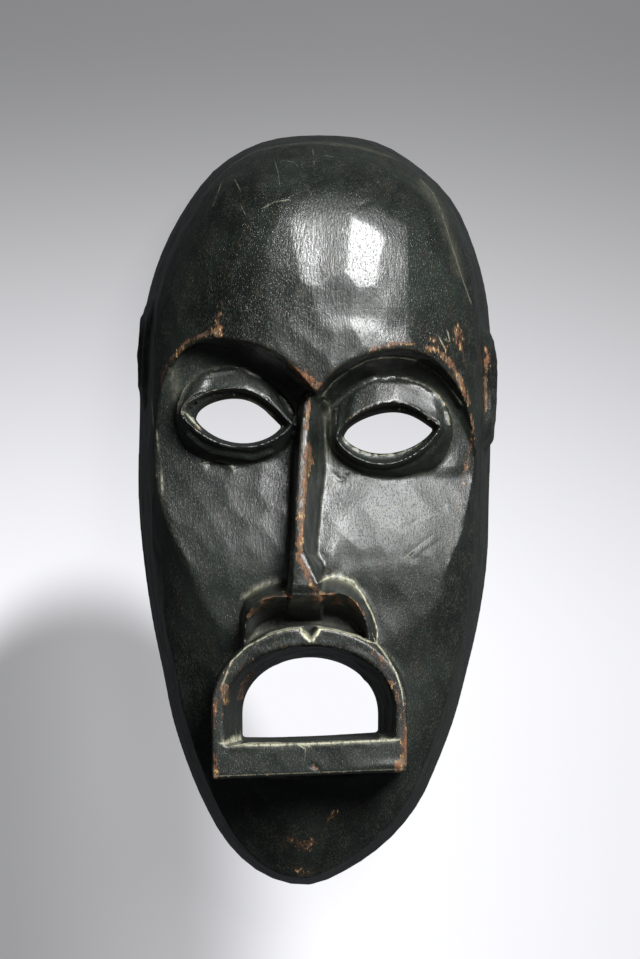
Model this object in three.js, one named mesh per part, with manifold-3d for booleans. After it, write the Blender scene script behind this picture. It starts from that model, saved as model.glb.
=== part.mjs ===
// A carved wooden face mask, one piece of wood, lying on its back rim with the face up.
// Millimetres. +Z is out of the face, +Y is towards the crown of the head and +X is the side
// that a viewer in front of the face sees on the right. The origin is on the rim's flat back,
// in the middle of the mask.
// The solid is made as a carver makes the mask: a loaf-shaped blank, one big cut under the
// brows, the forms that are left standing on the cut, and last the openings and the hollow.
import * as THREE from "three";
import { mergeVertices } from "three/addons/utils/BufferGeometryUtils.js";
import Module from "manifold-3d";

const wasm = await Module();
wasm.setup();

// Driving dimensions

// The rim as the mask stands on it: x, y, from the crown down the left side to the chin and back.
const RIM_OUTLINE = [
  [1, 170],
  [-24, 167],
  [-44, 156],
  [-57.5, 140],
  [-69.5, 118],
  [-76.5, 96],
  [-79.5, 75],
  [-80, 45],
  [-80.5, 5],
  [-78, -24],
  [-74, -51],
  [-69.5, -72.5],
  [-65, -94.5],
  [-58, -116],
  [-51, -132.5],
  [-42, -148.5],
  [-32, -159.5],
  [-20, -167],
  [-3, -170],
  [16, -162],
  [33.5, -149],
  [46.5, -133],
  [54.5, -116],
  [62.5, -95],
  [68.5, -72.5],
  [73.5, -51],
  [77.5, -24],
  [78.5, 5],
  [79.5, 45],
  [79.5, 70],
  [77.5, 96],
  [72, 118],
  [62, 140],
  [46, 156],
  [27, 167],
];

// Where the crown of the loaf is reckoned from.
const LOAF_CENTRE = { x: -1, y: 30 };
// The side wall leans in by this much between the rim and the shoulder, the edge of the face.
const WALL_LEAN = 8.5;
// Height of the shoulder along the mask: y, z.
const SHOULDER_HEIGHT = [
  [-170, 45],
  [-120, 50],
  [-40, 54],
  [60, 55],
  [110, 52],
  [170, 48],
];
// Height of the loaf's crest along the mask: y, z.
const LOAF_CREST = [
  [-170, 76],
  [-130, 80],
  [-100, 79],
  [-60, 79],
  [-26, 86],
  [0, 89.5],
  [60, 97],
  [110, 101.5],
  [170, 102],
];
// How full the loaf is from the crest to the shoulder: y, power.
const LOAF_FULLNESS = [
  [-170, 3.6],
  [-100, 3.2],
  [-60, 3],
  [-26, 4.2],
  [-6, 5.2],
  [20, 4.8],
  [48, 4.2],
  [80, 3.2],
  [110, 4.2],
  [140, 6],
  [170, 6],
];

// The edge of the brows, from temple to temple: x, y. The two arcs meet in a point over the nose.
const BROW_LEFT = [
  [-76, 24],
  [-71, 43],
  [-66, 56],
  [-57, 71],
  [-44, 76],
  [-31, 73.5],
  [-18, 68],
  [-8, 60],
  [0, 50.5],
];
const BROW_RIGHT = [
  [0, 50.5],
  [7, 59],
  [17, 65],
  [28, 69],
  [39, 70.5],
  [49, 68],
  [58, 59.5],
  [65.5, 46],
  [70.5, 34],
  [76, 18],
];
// Under the brow the wood drops to a narrow ledge, widest over the middle of the eye, and from
// the ledge a cove goes down to the socket.
const BROW_DROP = { height: 96, run: 4.8, middle: 33 };
const LEDGE_HEIGHT = 84;
const LEDGE_FALL = 0.0042;
const COVE_RUN = 13.5;
// Height of the cut face beside the nose: y, z.
const CHEEK_HEIGHT = [
  [-170, 84],
  [-120, 82],
  [-80, 76],
  [-48, 74.5],
  [-34, 75.8],
  [-26, 78.1],
  [-12, 76.3],
  [4, 72],
  [16, 68],
  [34, 67],
  [56, 71.5],
  [90, 72],
];
// The cheeks fall away to the sides, beyond this far from the middle, with the square of the way.
const CHEEK_FLAT = 8;
const CHEEK_FALL = { left: 0.0022, right: 0.003 };

// The eyes: the foot of the lids in the socket, the thin rim round the opening and the opening.
const EYES = [
  {
    foot: { x: -35, y: 39, halfWidth: 26, up: 22.5, down: 22.5, tilt: -0.08 },
    rim: { x: -34, y: 40.2, halfWidth: 24, up: 13.4, down: 12.3, tilt: -0.09 },
    hole: { x: -33.5, y: 38.4, halfWidth: 18.5, up: 10.4, down: 8.8, tilt: -0.087 },
  },
  {
    foot: { x: 32, y: 34.5, halfWidth: 27.5, up: 22.5, down: 23, tilt: 0.03 },
    rim: { x: 31.3, y: 34.2, halfWidth: 22.4, up: 13, down: 13.9, tilt: 0.12 },
    hole: { x: 31.5, y: 33.9, halfWidth: 19.3, up: 9, down: 8.8, tilt: 0.09 },
  },
];
// The upper lid slopes gently down to the cove, and the lower one drops steeply to the cheek.
const LID_ROOT = 54;
const LID_FOOT = { upper: 72.6, lower: 61 };
const LID_ROUNDING = 0.54;
const RIM_HEIGHT = 76.5;
// The opening is bevelled down to the hole's edge, and it flares again towards the hollow.
const HOLE_EDGE_HEIGHT = 68;
const HOLE_DEPTH = 4;
const HOLE_BACK = { height: 30, flare: 1.12 };
// How pointed the bows of the lids are: the upper one leans towards its outer corner.
const UPPER_BOW = { power: 0.85, lean: 0.3 };
const LOWER_BOW_POWER = 0.78;

// The nose, from its root to its tip: y, left foot, left and right of the ridge, right foot, ridge height.
const NOSE_SECTIONS = [
  [58, -6.4, -2.8, -0.4, 5.4, 81],
  [44, -10.4, -5.4, -2.6, 6, 84.5],
  [24, -11.5, -7.4, -3.8, 6.6, 88.5],
  [4, -12, -8.6, -4.6, 6.2, 93],
  [-12, -12.4, -9.4, -5.4, 5.4, 97],
  [-18, -12.7, -9.8, -5.4, 4.8, 99.5],
  [-31, -13.4, -11.2, 2.2, 3.6, 103],
  [-36, -13.8, -11.6, 2.8, 3.6, 101.5],
];
const NOSE_FOOT_HEIGHT = 60;
const NOSE_ROOT = 52;
const NOSE_UNDERCUT = 20;

// The hood of the nostrils, an arch from the left foot to the right. Its outside starts in a
// crease on the cheek, rises to a worn edge and is cut away beneath, back to a second crease.
const HOOD_CREASE = [
  [-34, -62, 72],
  [-32.8, -49, 73],
  [-31, -38, 74],
  [-24.5, -31.8, 75],
  [-13.4, -29.5, 76],
  [-4, -28, 76],
  [5, -28, 76],
  [13.5, -28.2, 75],
  [19.5, -33.5, 74],
  [24.6, -43, 73],
  [27.6, -60, 72],
];
const HOOD_EDGE = [
  [-31, -62, 86],
  [-30.2, -51, 90],
  [-28.4, -42.4, 93],
  [-22.5, -37.2, 96],
  [-13, -35.5, 98.5],
  [-5, -36, 99],
  [3, -35.2, 98.5],
  [11, -34.4, 96],
  [16.8, -38, 93],
  [21.4, -46.5, 90],
  [23.5, -60, 86],
];
const HOOD_UNDER = [
  [-28, -61, 74],
  [-26.8, -53.5, 74],
  [-24.4, -49.4, 74],
  [-17, -46.6, 73],
  [-10, -45.3, 73],
  [-3, -44.8, 73],
  [4, -45, 73],
  [11, -46.2, 73],
  [16.8, -48.8, 74],
  [20.3, -52.5, 74],
  [21.5, -60, 74],
];
const HOOD_STATIONS = 26;
const HOOD_FOOT = 54;
const PHILTRUM = { x: -3, y: -62, height: 73, share: 0.5 };

// The mouth: an arch on a straight bar, with a tapering tunnel through it.
const MOUTH = { x: -2.6, halfWidth: 41.2, top: -49, spring: -82, bottom: -112.2, tilt: 0.04 };
const MOUTH_FRONT = { top: 98.5, bottom: 96 };
const MOUTH_FOOT_HEIGHT = 50;
const MOUTH_FLARE = 1.2;
const BAR_BEVEL = { depth: 2, lift: 1.2 };
// A turn whose sine is lower than this lies under the bar, between its corners.
const UNDER_BAR = -0.72;
const TUNNEL_FRONT = { x: -2.6, halfWidth: 36.6, top: -56.4, spring: -84, bottom: -97.6, tilt: 0.04 };
const TUNNEL_BACK = { x: -2.5, halfWidth: 29.8, top: -63.7, spring: -88, bottom: -98.6, tilt: 0.04 };
const TUNNEL_HEIGHT = { back: 30, narrow: 61, wide: 97, front: 110 };
// The notch in the middle of the upper lip.
const NOTCH = { x: -2.4, halfWidth: 6.2, depth: 6.6, backDepth: 0.5, above: 2, front: 104, back: 84 };

// The ears on the side walls: z and y of the outline, from the top of the front edge back and down.
const EAR_OUTLINE = [
  [41, 18],
  [33, 27],
  [19, 27],
  [9, 16],
  [7, -2],
  [12, -17],
  [22, -28],
  [31, -26],
  [34.5, -15],
  [34, -2],
  [38, 8],
];
const EAR_MIDDLE = 24;
// Points of the rim that are further out than this belong to the side walls.
const FLANK = 50;
const EAR_SIDES = [
  { side: 1, y: 54.5, tall: 1, proud: 3.6 },
  { side: -1, y: 69.5, tall: 0.9, proud: 2.4 },
];
const EAR_BITE = 4;
const EAR_EDGE = 0.8;
const EAR_BEVEL = 0.82;
const EAR_BOWL = { size: 0.5, flare: 1.5, depth: 2.4, clear: 1.5 };

// The hollow that takes the wearer's face.
const RIM_WALL = 10.5;
const HOLLOW_LEAN = 7;
const HOLLOW_SHOULDER = [
  [-170, 24],
  [-60, 30],
  [170, 30],
];
const HOLLOW_CREST = [
  [-170, 52],
  [-130, 60],
  [-100, 63],
  [-60, 62],
  [-26, 62],
  [0, 59],
  [30, 55.5],
  [56, 57],
  [74, 69],
  [90, 82],
  [120, 88],
  [170, 88],
];
const HOLLOW_FULLNESS = [
  [-170, 2.8],
  [170, 2.8],
];

// Helpers

// A smooth value between knots, each a place and its value.
function along(knots, place) {
  const last = knots.length - 1;
  if (place <= knots[0][0]) return knots[0][1];
  if (place >= knots[last][0]) return knots[last][1];
  const i = knots.findIndex((knot) => knot[0] > place) - 1;
  const slope = (k) => {
    const a = knots[Math.max(k - 1, 0)];
    const b = knots[Math.min(k + 1, last)];
    return (b[1] - a[1]) / (b[0] - a[0]);
  };
  const [x0, v0] = knots[i];
  const [x1, v1] = knots[i + 1];
  const span = x1 - x0;
  const t = (place - x0) / span;
  const rise = t * t * (3 - 2 * t);
  return (
    v0 +
    (v1 - v0) * rise +
    span * t * (1 - t) * ((1 - t) * slope(i) - t * slope(i + 1))
  );
}

// Moves each vertex of a geometry to the place that a function gives it.
function pushed(geometry, place) {
  const position = geometry.getAttribute("position");
  const spot = new THREE.Vector3();
  for (let i = 0; i < position.count; i++) {
    spot.fromBufferAttribute(position, i);
    position.setXYZ(i, ...place(spot));
  }
  return geometry;
}

// A closed solid of a geometry, with shared vertices merged and collapsed faces left out.
function solidOf(geometry) {
  const bare = new THREE.BufferGeometry();
  bare.setAttribute("position", geometry.getAttribute("position"));
  bare.setIndex(geometry.index);
  const merged = mergeVertices(bare, 1e-4);
  const corners = merged.index.array;
  const triVerts = [];
  for (let i = 0; i < corners.length; i += 3) {
    const [a, b, c] = corners.slice(i, i + 3);
    if (a !== b && b !== c && c !== a) triVerts.push(a, b, c);
  }
  return new wasm.Manifold(
    new wasm.Mesh({
      numProp: 3,
      vertProperties: merged.attributes.position.array,
      triVerts: new Uint32Array(triVerts),
    }),
  );
}

// A box of which each vertex is placed by its share across, down and up.
function block(across, down, place) {
  const box = new THREE.BoxGeometry(1, 1, 1, across, down, 1);
  return solidOf(
    pushed(box, (spot) => place(spot.x + 0.5, 0.5 - spot.y, spot.z > 0)),
  );
}

// A drum of which each vertex is placed by its turn, its share of the radius and its level.
function drum(segments, levels, place) {
  const cylinder = new THREE.CylinderGeometry(1, 1, levels, segments, levels);
  return solidOf(
    pushed(cylinder.rotateX(Math.PI / 2), (spot) =>
      place(
        Math.atan2(spot.y, spot.x),
        Math.hypot(spot.x, spot.y),
        Math.round(spot.z + levels / 2),
      ),
    ),
  );
}

const rimCurve = new THREE.CatmullRomCurve3(
  RIM_OUTLINE.map(([x, y]) => new THREE.Vector3(x, y, 0)),
  true,
  "centripetal",
);

// The point of the rim's outline at a share of the way round, moved inwards.
function rimPoint(share, inset) {
  const point = rimCurve.getPointAt(share);
  const tangent = rimCurve.getTangentAt(share);
  return [point.x - tangent.y * inset, point.y + tangent.x * inset];
}

// A loaf: a leaning wall up to a shoulder, and a crown that swells from the shoulder to a crest.
function loaf({ segments, rings, inset, lean, foot, shoulder, crest, fullness }) {
  const profile = [
    [0, 0],
    [1, 0],
    [1, 1],
  ];
  for (let ring = 1; ring <= rings; ring++) {
    const share = ring / rings;
    profile.push([1 - share, 1 + share]);
  }
  const lathe = new THREE.LatheGeometry(
    profile.map(([radius, level]) => new THREE.Vector2(radius, level)),
    segments,
  );
  return solidOf(
    pushed(lathe, (spot) => {
      const turn = Math.atan2(spot.x, spot.z) / (2 * Math.PI);
      const share = ((turn % 1) + 1) % 1;
      const radius = Math.hypot(spot.x, spot.z);
      const level = Math.min(spot.y, 1);
      const [edgeX, edgeY] = rimPoint(share, inset + lean * level);
      const x = LOAF_CENTRE.x + (edgeX - LOAF_CENTRE.x) * radius;
      const y = LOAF_CENTRE.y + (edgeY - LOAF_CENTRE.y) * radius;
      if (spot.y < 0.5) return [x, y, foot];
      const edge = along(shoulder, edgeY);
      const swell = 1 - radius ** along(fullness, y);
      return [x, y, edge + (along(crest, y) - edge) * swell];
    }),
  );
}

// The pieces of the form

const blankForm = {
  segments: 96,
  rings: 16,
  inset: 0,
  lean: WALL_LEAN,
  foot: 0,
  shoulder: SHOULDER_HEIGHT,
  crest: LOAF_CREST,
  fullness: LOAF_FULLNESS,
};

// Height of the cut face at a place.
function cheekHeight(x, y) {
  const out = Math.max(Math.abs(x + 3) - CHEEK_FLAT, 0);
  const fall = x < 0 ? CHEEK_FALL.left : CHEEK_FALL.right;
  return along(CHEEK_HEIGHT, y) - fall * out * out;
}

// The wood that is taken away under the brows and over the cheeks.
function browCut() {
  const arcs = [BROW_LEFT, BROW_RIGHT].map(
    (points) => new THREE.SplineCurve(points.map(([x, y]) => new THREE.Vector2(x, y))),
  );
  const columns = 52;
  const rows = 25;
  const coveRows = 3;
  const low = -118;
  const clear = 140;
  return block(columns, rows, (across, down, isTop) => {
    const side = across < 0.5 ? 0 : 1;
    const { x, y: brow } = arcs[side].getPoint(Math.min(across * 2 - side, 1));
    const out = (Math.abs(x) - BROW_DROP.middle) / BROW_DROP.middle;
    const run = Math.max(BROW_DROP.run * (1 - out * out), 0.6);
    const ledge = LEDGE_HEIGHT - LEDGE_FALL * x * x;
    const socket = brow - COVE_RUN;
    const floor = cheekHeight(x, socket);
    const cove = [
      [brow, BROW_DROP.height],
      [brow - run, ledge],
      [brow - run - (COVE_RUN - run) * 0.4, ledge + (floor - ledge) * 0.6],
      [socket, floor],
    ];
    const row = Math.round(down * rows);
    const share = (row - coveRows) / (rows - coveRows);
    const y = row < coveRows ? cove[row][0] : socket + (low - socket) * share;
    const z = row < coveRows ? cove[row][1] : cheekHeight(x, y);
    return [x, y, isTop ? clear : z];
  });
}

// A point of a closed bow: round for the foot of the lids, pointed in the corners of the eye.
function bowPoint({ x, y, halfWidth, up, down, tilt }, turn, isRound) {
  const out = Math.cos(turn);
  const isUpper = Math.sin(turn) >= 0;
  const point = isUpper ? UPPER_BOW.power + UPPER_BOW.lean * out : LOWER_BOW_POWER;
  const bow = (1 - out * out) ** (isRound ? 0.5 : point);
  return [x + halfWidth * out, y + (isUpper ? up : -down) * bow + halfWidth * out * tilt];
}

// Both lids of one eye, a mound that rises from the socket to the rim of the opening.
function lids({ foot, rim }) {
  const rings = 3;
  return drum(44, rings, (turn, radius, level) => {
    const [footX, footY] = bowPoint(foot, turn, true);
    const [rimX, rimY] = bowPoint(rim, turn, false);
    const share = [0, 0, 0.5, 1][level];
    const x = footX + (rimX - footX) * share;
    const y = footY + (rimY - footY) * share;
    const upper = (1 + Math.sin(turn)) / 2;
    const low = LID_FOOT.lower + (LID_FOOT.upper - LID_FOOT.lower) * upper;
    const half = low + (RIM_HEIGHT - low) * LID_ROUNDING;
    const height = [LID_ROOT, low, half, RIM_HEIGHT][level];
    return [rim.x + (x - rim.x) * radius, rim.y + (y - rim.y) * radius, height];
  });
}

// The opening of one eye: a bevel from the rim down to the edge of the hole, then the hole.
function eyeOpening({ rim, hole }) {
  const levels = [
    [hole, HOLE_BACK.height, HOLE_BACK.flare],
    [hole, HOLE_EDGE_HEIGHT - HOLE_DEPTH, 1],
    [hole, HOLE_EDGE_HEIGHT, 1],
    [rim, RIM_HEIGHT + 1, 1],
  ];
  return drum(44, levels.length - 1, (turn, radius, level) => {
    const [shape, z, grow] = levels[level];
    const [x, y] = bowPoint(shape, turn, false);
    return [
      shape.x + (x - shape.x) * radius * grow,
      shape.y + (y - shape.y) * radius * grow,
      z,
    ];
  });
}

// The long narrow nose, with a flat facet at its tip.
function nose() {
  const rows = NOSE_SECTIONS.length - 1;
  const columns = 3;
  return block(columns, rows, (across, down, isTop) => {
    const row = Math.round(down * rows);
    const [y, leftFoot, left, right, rightFoot, height] = NOSE_SECTIONS[row];
    const column = Math.round(across * columns);
    const x = [leftFoot, left, right, rightFoot][column];
    const isRidge = column > 0 && column < columns;
    if (isTop) return [x, y, isRidge ? height : NOSE_FOOT_HEIGHT];
    return [x, row === rows ? y - NOSE_UNDERCUT : y, NOSE_ROOT];
  });
}

// The hood of the nostrils, with the bed of the upper lip behind its lower crease.
function hood() {
  const [crease, edge, under] = [HOOD_CREASE, HOOD_EDGE, HOOD_UNDER].map(
    (points) => new THREE.CatmullRomCurve3(points.map((point) => new THREE.Vector3(...point))),
  );
  const rows = 3;
  return block(HOOD_STATIONS, rows, (across, down, isTop) => {
    const row = Math.round(down * rows);
    const lines = [crease, edge, under];
    const spot = lines[Math.min(row, 2)].getPoint(across);
    if (row === rows) {
      spot.x = PHILTRUM.x + (spot.x - PHILTRUM.x) * PHILTRUM.share;
      spot.y = PHILTRUM.y;
      spot.z = PHILTRUM.height;
    }
    return [spot.x, spot.y, isTop ? spot.z : HOOD_FOOT];
  });
}

// A point of an arch that stands on a straight bar.
function archPoint({ x, halfWidth, top, spring, bottom, tilt }, turn, grow = 0) {
  const out = Math.cos(turn);
  const up = Math.sin(turn);
  const width = halfWidth + grow;
  if (up >= 0) return [x + width * out, spring + (top + grow - spring) * up];
  const share = -up / Math.max(Math.abs(out), -up);
  const side = out / Math.max(Math.abs(out), -up);
  const drop = (bottom - grow - spring + tilt * width * side) * share;
  return [x + width * side, spring + drop];
}

function mouthFront(y) {
  const { top, bottom } = MOUTH_FRONT;
  return bottom + ((top - bottom) * (y - MOUTH.bottom)) / (MOUTH.top - MOUTH.bottom);
}

// The lips, which stand out from the face as one frame.
function lips() {
  return drum(64, 2, (turn, radius, level) => {
    const grow = [MOUTH_FLARE, 0, 0][level];
    const [x, y] = archPoint(MOUTH, turn, grow);
    const px = MOUTH.x + (x - MOUTH.x) * radius;
    const py = MOUTH.spring + (y - MOUTH.spring) * radius;
    const front = mouthFront(py);
    const heights = [MOUTH_FOOT_HEIGHT, front - BAR_BEVEL.depth, front];
    const isBevel = level === 2 && radius > 0.5 && Math.sin(turn) < UNDER_BAR;
    return [px, isBevel ? py + BAR_BEVEL.lift : py, heights[level]];
  });
}

// The tunnel of the mouth, narrower at the back.
function mouthTunnel() {
  const levels = [
    [TUNNEL_BACK, TUNNEL_HEIGHT.back],
    [TUNNEL_BACK, TUNNEL_HEIGHT.narrow],
    [TUNNEL_FRONT, TUNNEL_HEIGHT.wide],
    [TUNNEL_FRONT, TUNNEL_HEIGHT.front],
  ];
  return drum(64, levels.length - 1, (turn, radius, level) => {
    const [shape, z] = levels[level];
    const [x, y] = archPoint(shape, turn);
    return [shape.x + (x - shape.x) * radius, shape.spring + (y - shape.spring) * radius, z];
  });
}

// The notch of the upper lip, a wedge with its point down.
function lipNotch() {
  const top = MOUTH.top + NOTCH.above;
  return block(2, 1, (across, down, isTop) => {
    const out = Math.round(across * 2) - 1;
    const depth = isTop ? NOTCH.depth : NOTCH.backDepth;
    const bottom = out === 0 ? MOUTH.top - depth : top;
    const y = down > 0.5 ? bottom : top + NOTCH.above;
    return [NOTCH.x + out * NOTCH.halfWidth, y, isTop ? NOTCH.front : NOTCH.back];
  });
}

// An ear, a bevelled relief on the side wall, and the bowl that is cut in it.
function ear({ side, y, tall, proud }) {
  const outline = new THREE.CatmullRomCurve3(
    EAR_OUTLINE.map(([z, up]) => new THREE.Vector3(z, up * tall, 0)),
    true,
    "centripetal",
  );
  const flank = RIM_OUTLINE.filter(([rimX]) => rimX * side > FLANK)
    .map(([rimX, rimY]) => [rimY, rimX])
    .sort((a, b) => a[0] - b[0]);
  const plate = (rings) =>
    drum(28, rings.length - 1, (turn, radius, level) => {
      const share = ((turn * -side) / (2 * Math.PI) + 1) % 1;
      const point = outline.getPointAt(share);
      const [scale, out] = rings[level];
      const z = EAR_MIDDLE + (point.x - EAR_MIDDLE) * radius * scale;
      const up = y + point.y * radius * scale;
      const lean = (z * WALL_LEAN) / along(SHOULDER_HEIGHT, up);
      return [along(flank, up) + side * (out - lean), up, z];
    });
  const relief = plate([
    [1, -EAR_BITE],
    [1, EAR_EDGE],
    [EAR_BEVEL, proud],
  ]);
  const bowl = plate([
    [EAR_BOWL.size, proud - EAR_BOWL.depth],
    [EAR_BOWL.size * EAR_BOWL.flare, proud + EAR_BOWL.clear],
  ]);
  return [relief, bowl];
}

// Joins

let mask = loaf(blankForm).subtract(browCut());
for (const eye of EYES) mask = mask.add(lids(eye));
mask = mask.add(nose()).add(hood()).add(lips());
for (const place of EAR_SIDES) {
  const [relief, bowl] = ear(place);
  mask = mask.add(relief).subtract(bowl);
}
mask = mask.subtract(lipNotch()).subtract(mouthTunnel());
mask = mask.subtract(
  loaf({
    segments: 64,
    rings: 12,
    inset: RIM_WALL,
    lean: HOLLOW_LEAN,
    foot: -1,
    shoulder: HOLLOW_SHOULDER,
    crest: HOLLOW_CREST,
    fullness: HOLLOW_FULLNESS,
  }),
);
for (const eye of EYES) mask = mask.subtract(eyeOpening(eye));

// The finished mask

const made = mask.getMesh();
const geometry = new THREE.BufferGeometry();
geometry.setAttribute("position", new THREE.BufferAttribute(made.vertProperties, 3));
geometry.setIndex(new THREE.BufferAttribute(made.triVerts, 1));
geometry.computeBoundingBox();
const middle = geometry.boundingBox.getCenter(new THREE.Vector3());
geometry.translate(-middle.x, -middle.y, 0);
geometry.computeVertexNormals();

const paintedWood = new THREE.MeshStandardMaterial({
  color: 0x232b27,
  roughness: 0.45,
  metalness: 0,
});

const carving = new THREE.Mesh(geometry, paintedWood);
carving.name = "mask";

const part = new THREE.Group();
part.add(carving);

export default part;
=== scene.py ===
# %% [markdown]
# # A carved and painted face mask
# The mask is one piece of light wood. Its carver cut the face with an adze and knives and painted
# it a green that is nearly black. Years of handling wore the paint off the ridges, and dust
# settled in the creases. We start from the plain solid of the mask, which gives the true size and
# place, and load it as a fixed frame. Everything we add has to fit that frame.

import bmesh
import bpy
import numpy as np
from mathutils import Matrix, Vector, kdtree, noise
from mathutils.bvhtree import BVHTree


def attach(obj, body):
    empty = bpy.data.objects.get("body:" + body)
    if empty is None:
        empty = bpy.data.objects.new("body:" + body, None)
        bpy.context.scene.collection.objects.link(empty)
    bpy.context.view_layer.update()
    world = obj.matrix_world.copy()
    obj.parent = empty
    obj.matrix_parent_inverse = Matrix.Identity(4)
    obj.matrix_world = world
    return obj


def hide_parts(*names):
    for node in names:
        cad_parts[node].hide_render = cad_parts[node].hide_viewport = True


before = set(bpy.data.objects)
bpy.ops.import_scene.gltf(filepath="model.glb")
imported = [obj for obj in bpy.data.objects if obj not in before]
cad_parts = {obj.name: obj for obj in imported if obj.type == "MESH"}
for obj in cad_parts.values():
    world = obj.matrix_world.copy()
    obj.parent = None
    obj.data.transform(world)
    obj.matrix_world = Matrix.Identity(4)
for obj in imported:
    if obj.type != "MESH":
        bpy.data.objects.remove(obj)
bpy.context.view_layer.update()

MM = 0.001
SEED = 41
chance = np.random.default_rng(SEED)
# The noise vectors have a seed of their own, which comes from the clock if none is set.
noise.seed_set(SEED)

# %% [markdown]
# ## A dense skin over the solid
# The solid has long thin faces, and a knife mark can't be shaped in those. A voxel remesh lays an
# even net of small squares over it, as if the mask were scanned. The solid's faces arrive as loose
# triangles, so the copy's doubles are merged first, because a remesh needs a closed skin.

# %% An even net of squares
VOXEL = 0.9 * MM


def closed_copy(node, name):
    """A new object with the node's mesh, its doubles merged."""
    mesh = node.data.copy()
    mesh.name = name
    welded = bmesh.new()
    welded.from_mesh(mesh)
    bmesh.ops.remove_doubles(welded, verts=welded.verts, dist=0.002 * MM)
    welded.to_mesh(mesh)
    welded.free()
    made = bpy.data.objects.new(name, mesh)
    bpy.context.scene.collection.objects.link(made)
    return made


def apply_modifiers(piece):
    """Turns a piece's modifiers into real faces."""
    graph = bpy.context.evaluated_depsgraph_get()
    finished = bpy.data.meshes.new_from_object(piece.evaluated_get(graph))
    piece.modifiers.clear()
    old, piece.data = piece.data, finished
    bpy.data.meshes.remove(old)
    finished.name = piece.name


carving = closed_copy(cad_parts["mask"], "carved_mask")
skin = carving.modifiers.new("even skin", "REMESH")
skin.mode = "VOXEL"
skin.voxel_size = VOXEL
apply_modifiers(carving)
print("skin:", len(carving.data.vertices), "points")

# %% [markdown]
# ## Finer squares round the eyes
# The rims of the eyes are ridges barely a millimetre wide. Squares of nearly a millimetre can't
# hold them, so the squares round the eyes are each cut in four before any carving starts.

# %% Finer squares
EYE_ZONES = [(-34, 39, 27, 21), (32, 35, 27, 20)]


def in_zone(spot, zones):
    """Whether a spot on the front, in mm, lies in one of the ellipses."""
    return spot.z > 55 and any(
        ((spot.x - x) / wide) ** 2 + ((spot.y - y) / tall) ** 2 < 1 for x, y, wide, tall in zones
    )


fine = bmesh.new()
fine.from_mesh(carving.data)
eye_edges = {
    edge
    for face in fine.faces
    if in_zone(face.calc_center_median() / MM, EYE_ZONES)
    for edge in face.edges
}
bmesh.ops.subdivide_edges(fine, edges=list(eye_edges), cuts=1, use_grid_fill=True)
bmesh.ops.triangulate(fine, faces=[face for face in fine.faces if len(face.verts) > 4])
fine.to_mesh(carving.data)
fine.free()
print("with finer eyes:", len(carving.data.vertices), "points")

# %% [markdown]
# ## The mask as an array of points
# A mesh this dense is slow to shape point by point, so all its points go into one array, in
# millimetres. Three tools work on it. One gives the direction that each point faces. One takes
# each value towards the mean of its neighbours' values, which on the points themselves works
# like a rasp. One steps smoothly from 0 to 1.

# %% Points, directions and the rasp
mesh = carving.data
count = len(mesh.vertices)
points = np.empty(count * 3)
mesh.vertices.foreach_get("co", points)
points = points.reshape(-1, 3) / MM
links = np.empty(len(mesh.edges) * 2, dtype=np.int64)
mesh.edges.foreach_get("vertices", links)
starts, ends = links.reshape(-1, 2).T
degree = (np.bincount(starts, minlength=count) + np.bincount(ends, minlength=count))[:, None]
mesh.calc_loop_triangles()
triangles = np.empty(len(mesh.loop_triangles) * 3, dtype=np.int64)
mesh.loop_triangles.foreach_get("vertices", triangles)
triangles = triangles.reshape(-1, 3)


def neighbour_mean(values):
    """The mean of the neighbours' values at each point."""
    flat = values.reshape(count, -1)
    total = [
        np.bincount(starts, column[ends], count) + np.bincount(ends, column[starts], count)
        for column in flat.T
    ]
    return (np.stack(total, axis=1) / degree).reshape(values.shape)


def rasped(values, passes, amount=0.5):
    """Values evened out over their neighbours, by an amount that may differ between points."""
    for _ in range(passes):
        values = values + amount * (neighbour_mean(values) - values)
    return values


def unit(vectors):
    """Vectors of length one."""
    return vectors / np.maximum(np.linalg.norm(vectors, axis=-1, keepdims=True), 1e-12)


def facing(spots):
    """The direction that each point faces, from the triangles that meet there."""
    a, b, c = (spots[triangles[:, k]] for k in range(3))
    face = np.cross(b - a, c - a)
    total = [
        sum(np.bincount(triangles[:, k], column, count) for k in range(3)) for column in face.T
    ]
    return unit(np.stack(total, axis=1))


def step(low, high, values):
    """0 below low, 1 above high and smooth between them, or the other way if low is the higher."""
    share = np.clip((values - low) / (high - low), 0, 1)
    return share * share * (3 - 2 * share)


print("triangles:", len(triangles))

# %% [markdown]
# ## Back onto the solid
# The even net cuts across the solid's edges by up to half a square. Each point goes back to the
# nearest place on the solid, which brings the crisp edges and the thin rims back.

# %% Every point on the solid again
# A point farther off than this, in mm, stays where it is. It could jump across a thin rim.
FARTHEST = 0.8
solid = closed_copy(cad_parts["mask"], "solid_copy")
corners = [vertex.co / MM for vertex in solid.data.vertices]
solid_tree = BVHTree.FromPolygons(corners, [list(face.vertices) for face in solid.data.polygons])
bpy.data.objects.remove(solid)
snapped = np.array([solid_tree.find_nearest(Vector(spot))[0] for spot in points])
moved = np.linalg.norm(snapped - points, axis=1)
points = np.where((moved < FARTHEST)[:, None], snapped, points)
way_back = [round(float(value), 3) for value in (moved.mean(), moved.max())]
print("mean and greatest way back in mm:", way_back)

# %% [markdown]
# ## Broad faces and crisp edges
# The forehead, cheeks, chin and sides are broad and softly rounded. The lids, lips, nose and brows
# end in edges that the carver left crisp. Averaged directions are shorter than one where the skin
# turns, so their lost length maps the edges. The rasp evens out the broad faces and spares them.

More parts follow.
